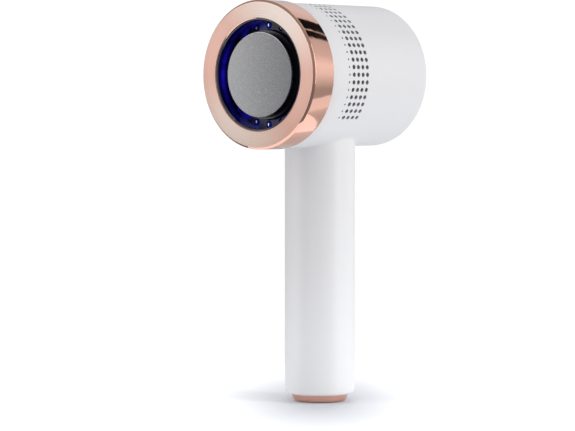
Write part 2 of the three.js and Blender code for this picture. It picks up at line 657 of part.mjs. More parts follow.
const handle = new THREE.Group();
handle.add(
  handleShell(), baseFoot(), footPad(), footScrew(), handleFrame(), ...frameScrews(), batteryCell(),
  controlBoard(), tactSwitch(), chargeSocket(), speedIndicator(), buttonBezel(), powerButton(),
);

const device = new THREE.Group();
device.add(head, handle);

export default device;
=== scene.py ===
"""The looks of a cordless callus remover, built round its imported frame. Lengths below are in millimetres,
and MM turns them into metres where a point is made."""
import json
import math

import bmesh
import bpy
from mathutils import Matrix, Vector


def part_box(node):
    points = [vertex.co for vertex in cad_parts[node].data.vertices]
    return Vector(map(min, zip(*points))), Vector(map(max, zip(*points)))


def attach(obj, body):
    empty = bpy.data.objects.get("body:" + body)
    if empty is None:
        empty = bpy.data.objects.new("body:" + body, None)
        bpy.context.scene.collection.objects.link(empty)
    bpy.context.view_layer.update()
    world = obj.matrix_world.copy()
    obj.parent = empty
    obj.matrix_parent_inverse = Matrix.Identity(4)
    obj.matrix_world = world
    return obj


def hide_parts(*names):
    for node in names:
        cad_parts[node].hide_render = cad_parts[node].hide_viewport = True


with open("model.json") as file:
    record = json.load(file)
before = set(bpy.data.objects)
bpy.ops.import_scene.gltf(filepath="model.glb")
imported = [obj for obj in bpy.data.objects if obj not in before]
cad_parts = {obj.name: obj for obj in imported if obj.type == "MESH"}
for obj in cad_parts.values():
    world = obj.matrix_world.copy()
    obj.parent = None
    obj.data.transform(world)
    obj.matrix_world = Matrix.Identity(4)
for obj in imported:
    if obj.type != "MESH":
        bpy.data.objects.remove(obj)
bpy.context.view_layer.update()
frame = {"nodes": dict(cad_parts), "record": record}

MM = 0.001


def size_mm(node):
    """(lowest corner, highest corner) of a CAD node, in millimetres."""
    low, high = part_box(node)
    return low / MM, high / MM


# ---------------------------------------------------------------- sizes, from the frame
ring_low, ring_high = size_mm("front_ring")
barrel_low, barrel_high = size_mm("barrel_shell")
handle_low, handle_high = size_mm("handle_shell")
tube_back = size_mm("light_tube")[1].y
pad_low, pad_high = size_mm("abrasive_pad")
button_low, button_high = size_mm("power_button")
bezel_low, bezel_high = size_mm("button_bezel")
light_low, light_high = size_mm("speed_indicator")
port_low, port_high = size_mm("charge_socket")
foot_low, foot_high = size_mm("base_foot")
sole_low, sole_high = size_mm("foot_pad")

HEAD_Y = ring_low.y
HEAD_Z = (ring_low.z + ring_high.z) / 2
RING_R = (ring_high.x - ring_low.x) / 2
RING_LENGTH = ring_high.y - ring_low.y
BARREL_R = (barrel_high.x - barrel_low.x) / 2
BARREL_BACK = barrel_high.y - HEAD_Y
HANDLE_R = (handle_high.x - handle_low.x) / 2
HANDLE_BOTTOM = handle_low.z
PAD_R = (pad_high.x - pad_low.x) / 2
PAD_RIM = 1.5                        # depth of the disc's rim behind the ring's face
PAD_TOP = pad_low.y - HEAD_Y
BUTTON_Z = (button_low.z + button_high.z) / 2
BUTTON_R = (button_high.x - button_low.x) / 2
BEZEL_R = (bezel_high.x - bezel_low.x) / 2
LIGHT_X = HANDLE_R * math.sin(math.radians(10))
LIGHTS_Z = (light_low.z + light_high.z) / 2
PORT_Z = (port_low.z + port_high.z) / 2
FOOT_R = (foot_high.x - foot_low.x) / 2

OPENING_R = 27.9                     # of the front ring
RING_WALL = 1.3                      # of the front ring's side
RING_WEB = 1.5                       # thickness of the ring behind its face
TUBE_R = 27.0                        # of the lit wall, inside
TUBE_OUTER_R = 28.5
TUBE_LIP = 0.6                       # from the ring's face back to the lit wall's lip
PAD_WALL = 0.9                       # thickness of the abrasive skin
SHELL = 2.0                          # wall of the barrel and the handle
BARREL_GAP = 0.15                    # between the ring and the barrel
BARREL_EDGE = 4.0                    # rounding of the barrel's rear edge
BACK_RISE = 0.4                      # dome of the barrel's back
VENT_CELLS = 60                      # vents are a whole number of these round the barrel
VENT_ROWS = 43
VENT_PITCH = 3.5
VENT_COLUMNS = [(28.3, 0.5), (31.8, 1.12), (35.3, 1.12), (38.8, 1.12), (42.3, 1.12)]
BORDER = 6                           # mesh steps along each side of a vent's cell
ARC_STEPS = 8                        # mesh steps round the barrel's edge, and over its back
SADDLE = 1.3                         # fillet between handle and barrel
SADDLE_START = 122.0                 # height where the handle starts to flow into the barrel
SADDLE_STEPS = 8
HANDLE_EDGE = 1.5                    # rounding of the handle's lower edge
HANDLE_MOUTH_R = 14.9                # of the opening for the foot
HANDLE_TURNS = 144                   # mesh steps round the handle
PORT_HALF = (4.8, 2.0)               # half the length and height of the charging slot
LIGHT_HOLE_R = 1.15
BUTTON_BLOCK, PORT_BLOCK = 22, 22    # mesh steps each way that the holes in the handle's back take
LIGHT_BLOCK, LIGHT_STEPS = 3, 4      # the same for a speed light, and its steps from the middle
FOOT_BOTTOM_R = 12.5
WELD = 1e-7                          # vertices closer than this become one, in metres


# ---------------------------------------------------------------- materials
def new_material(name, color, roughness, metallic=0.0):
    """A node material and its Principled shader."""
    material = bpy.data.materials.new(name)
    material.use_nodes = True
    shader = material.node_tree.nodes["Principled BSDF"]
    shader.inputs["Base Color"].default_value = (*color, 1)
    shader.inputs["Roughness"].default_value = roughness
    shader.inputs["Metallic"].default_value = metallic
    return material, shader


def node(material, kind, **sockets):
    """A new node of that kind, with its named inputs set to numbers or linked to sockets."""
    tree = material.node_tree
    made = tree.nodes.new(kind)
    for name, value in sockets.items():
        put(material, made, name.replace("_", " "), value)
    return made


def put(material, target, name, value):
    """Sets or links one input of a node."""
    socket = target.inputs[int(name)] if name.isdigit() else target.inputs[name]
    if isinstance(value, bpy.types.NodeSocket):
        material.node_tree.links.new(value, socket)
    else:
        socket.default_value = value


def place_in(material, offset=(0, 0, 0), scale=(1, 1, 1)):
    """Object coordinates in metres, moved and scaled."""
    coordinates = node(material, "ShaderNodeTexCoord").outputs["Object"]
    mapping = node(material, "ShaderNodeMapping", Vector=coordinates)
    mapping.inputs["Location"].default_value = offset
    mapping.inputs["Scale"].default_value = scale
    return mapping.outputs["Vector"]


def noise(material, where, scale, detail=3.0):
    """Cloudy noise from 0 to 1, with that many features per metre."""
    made = node(material, "ShaderNodeTexNoise", Vector=where, Scale=scale, Detail=detail, Roughness=0.55)
    return made.outputs["Fac"]


def remap(material, value, low, high, start=0.0, end=1.0):
    """The value, clamped and stretched from low..high to start..end."""
    made = node(material, "ShaderNodeMapRange", Value=value)
    for name, number in (("From Min", low), ("From Max", high), ("To Min", start), ("To Max", end)):
        made.inputs[name].default_value = number
    return made.outputs["Result"]


def maths(material, operation, *values):
    """One step of arithmetic on numbers or sockets."""
    made = material.node_tree.nodes.new("ShaderNodeMath")
    made.operation = operation
    for i, value in enumerate(values):
        put(material, made, str(i), value)
    return made.outputs["Value"]


def length_of(material, vector):
    made = material.node_tree.nodes.new("ShaderNodeVectorMath")
    made.operation = "LENGTH"
    put(material, made, "0", vector)
    return made.outputs["Value"]


def blend_colors(material, factor, first, second):
    """A colour between two, each given as numbers or as a socket."""
    made = material.node_tree.nodes.new("ShaderNodeMix")
    made.data_type = "RGBA"
    put(material, made, "0", factor)
    for index, value in (("6", first), ("7", second)):
        put(material, made, index, value if isinstance(value, bpy.types.NodeSocket) else (*value, 1))
    return made.outputs[2]


def tinted(material, color, factor, low, high):
    """A colour multiplied by a tint that goes from low to high with the factor."""
    made = material.node_tree.nodes.new("ShaderNodeMix")
    made.data_type = "RGBA"
    made.blend_type = "MULTIPLY"
    made.inputs["Factor"].default_value = 1.0
    put(material, made, "6", color)
    put(material, made, "7", blend_colors(material, factor, low, high))
    return made.outputs[2]


def bump(material, shader, height, strength, distance):
    """Relief from a height of 0 to 1, over a distance in metres."""
    made = node(material, "ShaderNodeBump", Height=height, Strength=strength)
    made.inputs["Distance"].default_value = distance
    put(material, shader, "Normal", made.outputs["Normal"])


def speckled(name, color, roughness, grain, spread=0.06, metallic=0.0, relief=0.02, coat=0.0):
    """A moulded or turned surface: fine grain in colour, gloss and relief, at grain features per metre."""
    material, shader = new_material(name, color, roughness, metallic)
    where = place_in(material)
    fine = noise(material, where, grain)
    broad = noise(material, where, grain / 40, 2.0)
    clouds = maths(material, "MULTIPLY", broad, 0.4)
    mixed = maths(material, "ADD", maths(material, "MULTIPLY", fine, 0.6), clouds)
    shade = remap(material, mixed, 0.3, 0.7)
    darker = [c * (1 - spread) for c in color]
    lighter = [min(1.0, c * (1 + spread)) for c in color]
    put(material, shader, "Base Color", blend_colors(material, shade, darker, lighter))
    put(material, shader, "Roughness", remap(material, fine, 0.3, 0.7, roughness * 0.85, roughness * 1.15))
    bump(material, shader, fine, 0.25, relief * MM)
    if coat:
        shader.inputs["Coat Weight"].default_value = coat
        shader.inputs["Coat Roughness"].default_value = 0.25
    return material


def white_shell():
    """Satin injection-moulded plastic."""
    material = speckled("white_satin_plastic", (0.89, 0.885, 0.89), 0.40, 2600, 0.008, relief=0.008)
    shader = material.node_tree.nodes["Principled BSDF"]
    shader.inputs["Specular IOR Level"].default_value = 0.45
    return material


FAN_HIGHLIGHT_ANGLE = math.radians(65)         # where the painted fan highlight on the turned face is palest, from +X
FACE_SHADE_LOW, FACE_LIGHT_HIGH = (0.86, 0.85, 0.85), (1.07, 1.13, 1.17)   # painted shade at the face's bottom and painted light at its top


def grooved_gold():
    """The ring's face: fine turned grooves round the axis, with a painted fan highlight, painted light at the
    top and painted shade at the bottom.
    """
    material, shader = new_material("rose_gold_turned_face", (0.83, 0.56, 0.47), 0.36, 1.0)
    where = place_in(material, (0, 0, -HEAD_Z * MM), (1, 0, 1))
    grooves = material.node_tree.nodes.new("ShaderNodeTexNoise")
    grooves.noise_dimensions = "1D"
    put(material, grooves, "W", length_of(material, where))
    grooves.inputs["Scale"].default_value = 3300    # per metre
    grooves.inputs["Detail"].default_value = 2.0
    lines = grooves.outputs["Fac"]
    place = node(material, "ShaderNodeSeparateXYZ", Vector=where)
    angle = maths(material, "ARCTAN2", place.outputs["Z"], place.outputs["X"])
    twice = maths(material, "MULTIPLY", maths(material, "SUBTRACT", angle, FAN_HIGHLIGHT_ANGLE), 2.0)
    # painted highlight: a fan of paler, creamier colour across the turned face, fixed on the ring
    fan_highlight = remap(material, maths(material, "COSINE", twice), -0.6, 1.0)
    light = blend_colors(material, fan_highlight, (0.65, 0.405, 0.33), (0.76, 0.63, 0.555))
    dark = blend_colors(material, fan_highlight, (0.43, 0.25, 0.20), (0.53, 0.42, 0.36))
    turned_color = blend_colors(material, remap(material, lines, 0.32, 0.68), dark, light)
    # painted light and shade: the face is tinted darker towards the bottom and paler towards the top
    rise = remap(material, place.outputs["Z"], -RING_R * MM, RING_R * MM)
    put(material, shader, "Base Color", tinted(material, turned_color, rise, FACE_SHADE_LOW, FACE_LIGHT_HIGH))
    put(material, shader, "Roughness", remap(material, lines, 0.3, 0.7, 0.30, 0.44))
    shader.inputs["Anisotropic"].default_value = 0.7
    tangent = material.node_tree.nodes.new("ShaderNodeTangent")
    tangent.direction_type = "RADIAL"
    tangent.axis = "Y"
    put(material, shader, "Tangent", tangent.outputs["Tangent"])
    bump(material, shader, lines, 0.35, 0.03 * MM)
    return material


def polished_gold():
    """The ring's side: mirror-bright, with the faint haze of handling."""
    material, shader = new_material("rose_gold_polished", (0.85, 0.52, 0.42), 0.07, 1.0)
    where = place_in(material)
    haze = noise(material, where, 90, 4.0)
    put(material, shader, "Roughness", remap(material, haze, 0.35, 0.7, 0.045, 0.10))
    tint = noise(material, where, 40, 2.0)
    color = blend_colors(material, tint, (0.86, 0.49, 0.375), (0.89, 0.53, 0.415))
    put(material, shader, "Base Color", color)
    height = node(material, "ShaderNodeSeparateXYZ", Vector=where).outputs["Z"]
    upper = remap(material, height, (HEAD_Z + 11) * MM, (HEAD_Z + 17) * MM)
    ripple = noise(material, where, 210, 1.0)
    bump(material, shader, maths(material, "MULTIPLY", ripple, upper), 1.0, 0.055 * MM)
    return material


def satin_gold():
    """The foot and button: fine bead-blasted anodising."""
    return speckled("rose_gold_satin", (0.75, 0.44, 0.35), 0.36, 3500, 0.05, metallic=0.9, relief=0.01)


GLOW_DEPTH = 4.6                     # of the middle of the lit wall's glow, behind the ring's face
GLOW_BAND = (0.4, 2.2)               # away from that, where the glow starts to fade and where it is faint
GLOW_HEIGHT = (2.0, 16.0)            # the same, above and below the head's axis


def lit_wall():
    """Dark blue glossy plastic that glows in soft patches, most at the height of the head's axis."""
    material, shader = new_material("lit_blue_wall", (0.002, 0.002, 0.03), 0.12)
    where = place_in(material, (0, -HEAD_Y * MM, -HEAD_Z * MM))
    parts = node(material, "ShaderNodeSeparateXYZ", Vector=where)
    height, depth = parts.outputs["Z"], parts.outputs["Y"]
    band = maths(material, "ABSOLUTE", maths(material, "SUBTRACT", depth, GLOW_DEPTH * MM))
    band = remap(material, band, GLOW_BAND[0] * MM, GLOW_BAND[1] * MM, 1.0, 0.12)
    from_axis = maths(material, "ABSOLUTE", height)
    middle = remap(material, from_axis, GLOW_HEIGHT[0] * MM, GLOW_HEIGHT[1] * MM, 1.0, 0.28)
    patches = noise(material, place_in(material, scale=(1, 0.35, 1)), 150, 2.0)
    patches = remap(material, patches, 0.38, 0.62, 0.25, 1.0)
    glow = maths(material, "MULTIPLY", maths(material, "MULTIPLY", band, middle), patches)
    put(material, shader, "Emission Color", (0.03, 0.012, 1.0, 1))
    put(material, shader, "Emission Strength", maths(material, "MULTIPLY", glow, 0.30))
    shader.inputs["Coat Weight"].default_value = 0.6
    shader.inputs["Coat Roughness"].default_value = 0.08
    return material


DISC_LIGHT, DISC_DARK = 0.384, -0.576   # painted light and shade: how much paler the disc is painted at its -X edge, and darker at +X


def grit():
    """Fine grey abrasive bonded to the disc's dome. Its colour holds painted shade across it, paler at -X and
    darker at +X, as light from the left leaves it.
    """
    material, shader = new_material("grey_grit", (0.30, 0.30, 0.31), 0.75)
    where = place_in(material)
    fine = noise(material, where, 2300, 2.0)
    cells = node(material, "ShaderNodeTexVoronoi", Vector=where, Scale=2600.0).outputs["Distance"]
    grain = maths(material, "MULTIPLY", fine, 0.7)
    mixed = maths(material, "ADD", grain, maths(material, "MULTIPLY", cells, 0.5))
    across = node(material, "ShaderNodeSeparateXYZ", Vector=where).outputs["X"]
    # painted shade across the disc, from its -X edge to its +X edge
    slope = remap(material, across, -PAD_R * MM, PAD_R * MM, DISC_LIGHT, DISC_DARK)
    speckle = remap(material, mixed, 0.35, 0.85)
    shade = maths(material, "ADD", speckle, slope)
    color = blend_colors(material, shade, (0.315, 0.315, 0.32), (0.66, 0.66, 0.67))
    put(material, shader, "Base Color", color)
    put(material, shader, "Roughness", remap(material, fine, 0.3, 0.7, 0.48, 0.7))
    bump(material, shader, mixed, 0.6, 0.06 * MM)
    return material


def lamp_glow(name, color, strength):
    """A small lamp behind a moulded lens, evenly lit with a soft mottle."""
    material, shader = new_material(name, (0.5, 0.6, 0.9), 0.1)
    soft = noise(material, place_in(material), 900, 1.0)
    put(material, shader, "Emission Color", (*color, 1))
    mottle = remap(material, soft, 0.3, 0.7, strength * 0.7, strength * 1.3)
    put(material, shader, "Emission Strength", mottle)
    return material


def lamp_spark(name, strength):
    """A dark blue lens with one small upright bright chip behind it."""
    material, shader = new_material(name, (0.004, 0.006, 0.06), 0.08)
    spot = material.node_tree.nodes.new("ShaderNodeSeparateXYZ")
    put(material, spot, "Vector", node(material, "ShaderNodeTexCoord").outputs["Generated"])
    across = maths(material, "ABSOLUTE", maths(material, "SUBTRACT", spot.outputs["X"], 0.5))
    up = maths(material, "ABSOLUTE", maths(material, "SUBTRACT", spot.outputs["Z"], 0.5))
    core = maths(material, "MULTIPLY", remap(material, across, 0.03, 0.10, 1.0, 0.0),
                 remap(material, up, 0.12, 0.34, 1.0, 0.0))
    halo = maths(material, "MULTIPLY", remap(material, across, 0.1, 0.5, 1.0, 0.0),
                 remap(material, up, 0.2, 0.5, 1.0, 0.0))
    color = blend_colors(material, core, (0.02, 0.05, 1.0), (0.55, 0.75, 1.0))
    put(material, shader, "Emission Color", color)
    put(material, shader, "Emission Strength",
        maths(material, "ADD", maths(material, "MULTIPLY", core, 1.9 * strength),
              maths(material, "MULTIPLY", halo, 0.17 * strength)))
    shader.inputs["Coat Weight"].default_value = 0.5
    return material


PATCH_SIDE = (-24.0, 4.0)            # across the head, where the floor's painted light patches are brightest and faintest
PATCH_DEPTH = (8.8, 10.6)            # behind the ring's face, where they start to fade and where they end


def lit_floor():
    """The floor of the channel: glossy navy with painted blue light in patches, a glow that stands in for the
    channel's blue light falling on it.
    """
    material, shader = new_material("lit_floor", (0.002, 0.002, 0.02), 0.22)
    where = place_in(material, (0, -HEAD_Y * MM, -HEAD_Z * MM))
    parts = node(material, "ShaderNodeSeparateXYZ", Vector=where)
    patches = remap(material, noise(material, place_in(material), 170, 2.0), 0.42, 0.66, 0.0, 1.0)
    left = remap(material, parts.outputs["X"], PATCH_SIDE[0] * MM, PATCH_SIDE[1] * MM, 1.0, 0.25)
    near = remap(material, parts.outputs["Y"], PATCH_DEPTH[0] * MM, PATCH_DEPTH[1] * MM, 1.0, 0.0)
    glow = maths(material, "MULTIPLY", maths(material, "MULTIPLY", left, near), patches)
    put(material, shader, "Emission Color", (0.02, 0.015, 1.0, 1))
    put(material, shader, "Emission Strength", maths(material, "MULTIPLY", glow, 0.22))
    shader.inputs["Specular IOR Level"].default_value = 0.25
    return material


MATERIALS = {
    "white_shell": white_shell(),
    "face": grooved_gold(),
    "mirror": polished_gold(),
    "rose_gold": satin_gold(),
    "blue_tube": lit_wall(),
    "abrasive": grit(),
    "black_plastic": speckled("black_plastic", (0.012, 0.012, 0.014), 0.3, 3000, 0.2, coat=0.2),
    "grey_plastic": speckled("grey_plastic", (0.17, 0.17, 0.175), 0.5, 2500, 0.08),
    "acetal": speckled("acetal", (0.78, 0.75, 0.68), 0.4, 2500, 0.03),
    "steel": speckled("plain_steel", (0.52, 0.52, 0.54), 0.28, 3500, 0.08, metallic=1.0),
    "black_oxide": speckled("black_oxide", (0.03, 0.03, 0.033), 0.4, 3500, 0.2, metallic=0.8),
    "rubber": speckled("soft_rubber", (0.02, 0.02, 0.021), 0.8, 2200, 0.2, relief=0.05),
    "felt": speckled("felt", (0.45, 0.42, 0.36), 0.95, 1800, 0.25, relief=0.15),
    "foam": speckled("filter_foam", (0.06, 0.065, 0.075), 0.95, 1100, 0.6, relief=0.4),
    "board": speckled("solder_mask", (0.01, 0.10, 0.04), 0.35, 1500, 0.2, coat=0.3),
    "cell_wrap": speckled("shrink_wrap", (0.03, 0.16, 0.40), 0.3, 1200, 0.06, coat=0.3),
    "red_wire": speckled("red_insulation", (0.45, 0.02, 0.02), 0.45, 2500, 0.08),
    "black_wire": speckled("black_insulation", (0.02, 0.02, 0.02), 0.45, 2500, 0.2),
}
LAMP_LEVELS = {1: 0.4, 2: 1.0, 3: 0.12}   # the lamps of a row glow unevenly
LAMPS = {index: lamp_spark(f"lamp_lens_{index}", level) for index, level in LAMP_LEVELS.items()}
SPEED_LIGHT = lamp_glow("speed_light", (0.8, 0.9, 1.0), 0.5)
# painted shade: the shell's inside faces are dark grey, standing in for the shade within the closed shell
SHELL_INSIDE_SHADE = speckled("shell_inside_shade", (0.075, 0.075, 0.078), 0.6, 2200, 0.1)
# painted shade: the vents' walls are mid grey, as white plastic seen in shade
VENT_WALL_SHADE = speckled("vent_wall_shade", (0.42, 0.42, 0.43), 0.6, 2200, 0.05)
CUP_FLOOR = lit_floor()


# ---------------------------------------------------------------- mesh helpers
def finish_piece(name, bm, body, materials, replaces=(), sharp=32):
    """Turns a bmesh into a smooth piece that rides on a body and stands for CAD nodes."""
    bmesh.ops.remove_doubles(bm, verts=bm.verts, dist=WELD)
    bmesh.ops.recalc_face_normals(bm, faces=bm.faces)
    mesh = bpy.data.meshes.new(name)
    bm.to_mesh(mesh)
    bm.free()
    mesh.shade_smooth()
    mesh.set_sharp_from_angle(angle=math.radians(sharp))
    for material in materials:
        mesh.materials.append(material)
    piece = bpy.data.objects.new(name, mesh)
    bpy.context.scene.collection.objects.link(piece)
    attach(piece, body)
    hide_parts(*replaces)
    return piece


def rounded(points, closed=True, steps=5):
    """Turns (radius, distance, fillet, material) corners into (radius, distance, material) points."""
    made = []
    count = len(points)
    for i, (r, d, fillet, kind) in enumerate(points):
        corner = Vector((r, d))
        if fillet <= 0 or (not closed and i in (0, count - 1)):
            made.append((r, d, kind))
            continue
        back = (Vector(points[i - 1][:2]) - corner).normalized()
        ahead = (Vector(points[(i + 1) % count][:2]) - corner).normalized()
        half = back.angle(ahead) / 2
        centre = corner + (back + ahead).normalized() * fillet / math.sin(half)
        start = corner + back * fillet / math.tan(half) - centre
        end = corner + ahead * fillet / math.tan(half) - centre
        sweep = start.angle_signed(end)
        first = math.atan2(start.y, start.x)
        for k in range(steps + 1):
            angle = first - sweep * k / steps
            point = centre + fillet * Vector((math.cos(angle), math.sin(angle)))
            made.append((point.x, point.y, kind))
    return made


def head_point(radius, angle, depth):
    """A point round the head's axis, in metres. Angle 0 is +X and a quarter turn is up."""
    return Vector((radius * math.cos(angle), HEAD_Y + depth, HEAD_Z + radius * math.sin(angle))) * MM


def upright_point(radius, angle, z):
    """A point round the handle's axis, in metres."""
    return Vector((radius * math.cos(angle), radius * math.sin(angle), z)) * MM


def turned(profile, segments, place, closed=True):
    """A bmesh of a profile turned round an axis. place(radius, angle, distance) gives a point."""
    bm = bmesh.new()
    rings = []
    for r, d, _ in profile:
        rings.append([bm.verts.new(place(r, 2 * math.pi * k / segments, d)) for k in range(segments)])
    last = len(profile) if closed else len(profile) - 1
    for i in range(last):
        lower, upper = rings[i], rings[(i + 1) % len(profile)]
        for k in range(segments):
            n = (k + 1) % segments
            face = bm.faces.new((lower[k], lower[n], upper[n], upper[k]))
            face.material_index = profile[i][2]
    return bm


LEVEL_SKINS = (0, 0, 0, 2, 1)         # material of each band of faces, from a hole's block outside to inside


def pierced_shell(place, turns, stations, holes, aspect):
    """A bmesh of a shell with holes: material 0 outside, 1 inside and 2 on the holes' walls.
    place(angle, station, depth) gives a point, with depth 0 outside and 1 inside. A hole is
    (first turn, last turn, first station, last station, outline), and it takes that block of the grid. Its
    outline gives (angle offset, station offset) for a direction, and aspect is millimetres of arc for each
    unit of angle."""
    bm = bmesh.new()
    count = len(turns)
    cache = {}
    taken = {(i % count, j) for a, b, c, d, _ in holes for i in range(a, b) for j in range(c, d)}

    def grid(i, j, depth):
        key = (i % count, j, depth)
        if key not in cache:
            cache[key] = bm.verts.new(place(turns[i % count], stations[j], depth))
        return cache[key]

    for depth in (0, 1):
        for i in range(count):
            for j in range(len(stations) - 1):
                if (i, j) not in taken:
                    corners = ((i, j), (i + 1, j), (i + 1, j + 1), (i, j + 1))
                    face = bm.faces.new([grid(a, b, depth) for a, b in corners])
                    face.material_index = depth
    for i in range(count):
        bm.faces.new((grid(i, 0, 0), grid(i + 1, 0, 0), grid(i + 1, 0, 1), grid(i, 0, 1)))

    for a, b, c, d, outline in holes:
        around = [(i, c) for i in range(a, b)] + [(b, j) for j in range(c, d)]
        around += [(i, d) for i in range(b, a, -1)] + [(a, j) for j in range(d, c, -1)]
        full = 2 * math.pi
        step = (turns[1] - turns[0]) % full
        middle_u = turns[a % count] + step * (b - a) / 2
        middle_v = (stations[c] + stations[d]) / 2

        def ring(share, scale, depth):
            made = []
            for i, j in around:
                du = turns[a % count] + step * (i - a) - middle_u
                dv = stations[j] - middle_v
                hu, hv = outline(math.atan2(dv, du * aspect))
                u = middle_u + hu * scale * (1 - share) + du * share
                v = middle_v + hv * scale * (1 - share) + dv * share
                made.append(bm.verts.new(place(u, v, depth)))
            return made

        outside = [grid(i, j, 0) for i, j in around]
        inside = [grid(i, j, 1) for i, j in around]
        rings = [outside, ring(0.45, 1.0, 0), ring(0.0, 1.05, 0), ring(0.0, 1.0, 0.05), ring(0.0, 1.0, 1)]
        rings.append(inside)
        for level, (one, other) in enumerate(zip(rings, rings[1:])):
            for k in range(len(around)):
                n = (k + 1) % len(around)
                face = bm.faces.new((one[k], one[n], other[n], other[k]))
                face.material_index = LEVEL_SKINS[level]
    return bm


INNER_BEVEL = 0.12                   # width of the softened edges of the inner pieces


def refined(name, material, body):
    """A CAD node's own shape with smooth turning and softened edges."""
    source = frame["nodes"][name]
    bm = bmesh.new()
    bm.from_mesh(source.data)
    bmesh.ops.remove_doubles(bm, verts=bm.verts, dist=WELD * 10)
    bmesh.ops.dissolve_limit(bm, angle_limit=math.radians(1), verts=bm.verts, edges=bm.edges)
    piece = finish_piece(name + "_visual", bm, body, [material], [name], sharp=28)
    edge = piece.modifiers.new("edge", "BEVEL")
    edge.width = INNER_BEVEL * MM
    edge.segments = 2
    edge.limit_method = "ANGLE"
    edge.angle_limit = math.radians(35)
    edge.harden_normals = True
    return piece


# ---------------------------------------------------------------- head
def circle_outline(radius, aspect):
    return lambda t: (radius * math.cos(t) / aspect, radius * math.sin(t))


def lerp(table, value):
    """The row of table at value, between the two rows round it. A row is (value, number, number, ...)."""
    for low, high in zip(table, table[1:]):
        if value <= high[0] or high is table[-1]:
            share = (value - low[0]) / (high[0] - low[0])
            return [a + (b - a) * share for a, b in zip(low[1:], high[1:])]


def barrel():
    """The white barrel: a cup with a rounded back and rows of round vents."""
    mouth = RING_LENGTH + BARREL_GAP
    straight = BARREL_BACK - BARREL_EDGE - BACK_RISE
    first = VENT_COLUMNS[0][0] - VENT_PITCH / 2
    bore = BARREL_R - SHELL
    # A row is (station, outer radius, outer depth, inner radius, inner depth).
    rows = [(mouth - 0.25, BARREL_R - 0.4, mouth, bore, mouth),
            (mouth, BARREL_R - 0.12, mouth + 0.06, bore, mouth + 0.1),
            (mouth + 0.25, BARREL_R, mouth + 0.3, bore, mouth + 0.3)]
    rows += [(v, BARREL_R, v, bore, v) for v in (first, straight - SHELL)]
    corner = BARREL_R - BARREL_EDGE
    inner = BARREL_EDGE - SHELL
    for k in range(ARC_STEPS + 1):
        t = k / ARC_STEPS * math.pi / 2
        rows.append((straight + k, corner + BARREL_EDGE * math.cos(t), straight + BARREL_EDGE * math.sin(t),
                     corner + inner * math.cos(t), straight + inner * math.sin(t)))
    back = straight + BARREL_EDGE
    for k in range(1, ARC_STEPS + 1):
        r = corner * (1 - k / ARC_STEPS)
        dome = BACK_RISE * (1 - (r / corner) ** 2)
        rows.append((straight + ARC_STEPS + k, r, back + dome, r, back - SHELL))
    stations = [rows[0][0], rows[1][0], rows[2][0], first - VENT_PITCH, first]
    for column in range(len(VENT_COLUMNS)):
        stations += [first + VENT_PITCH * (column + (k + 1) / BORDER) for k in range(BORDER)]
    stations += [straight - SHELL] + [row[0] for row in rows if row[0] >= straight]
    turns_count = VENT_CELLS * BORDER
    step = 2 * math.pi / turns_count
    # A cell's middle is at the top, so the first turn is half a cell away from it.
    start = math.pi / 2 - BORDER / 2 * step
    turns = [start + i * step for i in range(turns_count)]

    def place(angle, station, depth):
        ro, do, ri, di = lerp(rows, station)
        return head_point(ro + (ri - ro) * depth, angle, do + (di - do) * depth)

    holes = []
    half = (VENT_ROWS - 1) // 2
    base = stations.index(first)
    for row in range(-half, half + 1):
        for column, (_, radius) in enumerate(VENT_COLUMNS):
            i, j = row * BORDER, base + column * BORDER
            holes.append((i, i + BORDER, j, j + BORDER, circle_outline(radius, BARREL_R)))
    bm = pierced_shell(place, turns, stations, holes, BARREL_R)
    skins = [MATERIALS["white_shell"], SHELL_INSIDE_SHADE, VENT_WALL_SHADE]
    finish_piece("barrel", bm, "body", skins, ["barrel_shell"], sharp=40)


def front_ring():
    """The gold ring: a turned face (material 0) and polished edges and side (material 1)."""
    bore, chamfer = OPENING_R, 0.45
    slope_in, slope_back = 1.05, 0.95    # of the bright slope between face and side
    inner = RING_R - RING_WALL
    profile = rounded([
        (bore, chamfer, 0.1, 1), (bore + chamfer, 0, 0.1, 0), (RING_R - slope_in, 0, 0.08, 1),
        (RING_R, slope_back, 0.35, 1), (RING_R, RING_LENGTH, 0.3, 1), (inner, RING_LENGTH, 0, 1),
        (inner, RING_WEB, 0, 1), (bore, RING_WEB, 0, 1),
    ])
    bm = turned(profile, 240, head_point)
    skins = [MATERIALS["face"], MATERIALS["mirror"]]
    finish_piece("front_ring_visual", bm, "front_cup", skins, ["front_ring"])


def lit_tube():
    """The lit wall of the channel, with a lip behind the ring's face."""
    deep = tube_back - HEAD_Y
    lip, shoulder = OPENING_R - 0.3, RING_WEB + 0.3
    profile = rounded([
        (TUBE_R, TUBE_LIP + 0.5, 0.25, 0), (TUBE_R + 0.35, TUBE_LIP, 0.1, 0), (lip, TUBE_LIP, 0, 0),
        (lip, shoulder, 0, 0), (TUBE_OUTER_R, shoulder, 0, 0), (TUBE_OUTER_R, deep, 0, 0),
        (TUBE_R, deep, 0.2, 0),
    ])
    bm = turned(profile, 192, head_point)
    wall = MATERIALS["blue_tube"]
    finish_piece("light_tube_visual", bm, "front_cup", [wall], ["light_tube"])


def abrasive_disc():
    """The domed grit skin, with a thin rolled rim."""
    front_steps, back_steps = 12, 6

    def dome(r, behind=0.0):
        return r, PAD_RIM - (PAD_RIM - PAD_TOP) * (1 - (r / PAD_R) ** 2) + behind
    front = [(*dome(PAD_R * k / front_steps), 0) for k in range(front_steps)]
    edge = [(*dome(PAD_R - 0.25), 1), (PAD_R - 0.08, PAD_RIM + 0.02, 1), (PAD_R, PAD_RIM + 0.2, 1),
            (PAD_R - 0.05, PAD_RIM + 0.6, 1), (PAD_R - 0.2, PAD_RIM + PAD_WALL, 0)]
    back = [(*dome(PAD_R * k / back_steps, PAD_WALL), 0) for k in range(back_steps - 1, -1, -1)]
    bm = turned(front + edge + back, 160, head_point, closed=False)
    skins = [MATERIALS["abrasive"], MATERIALS["steel"]]
    finish_piece("abrasive_disc", bm, "disc", skins, ["abrasive_pad"])


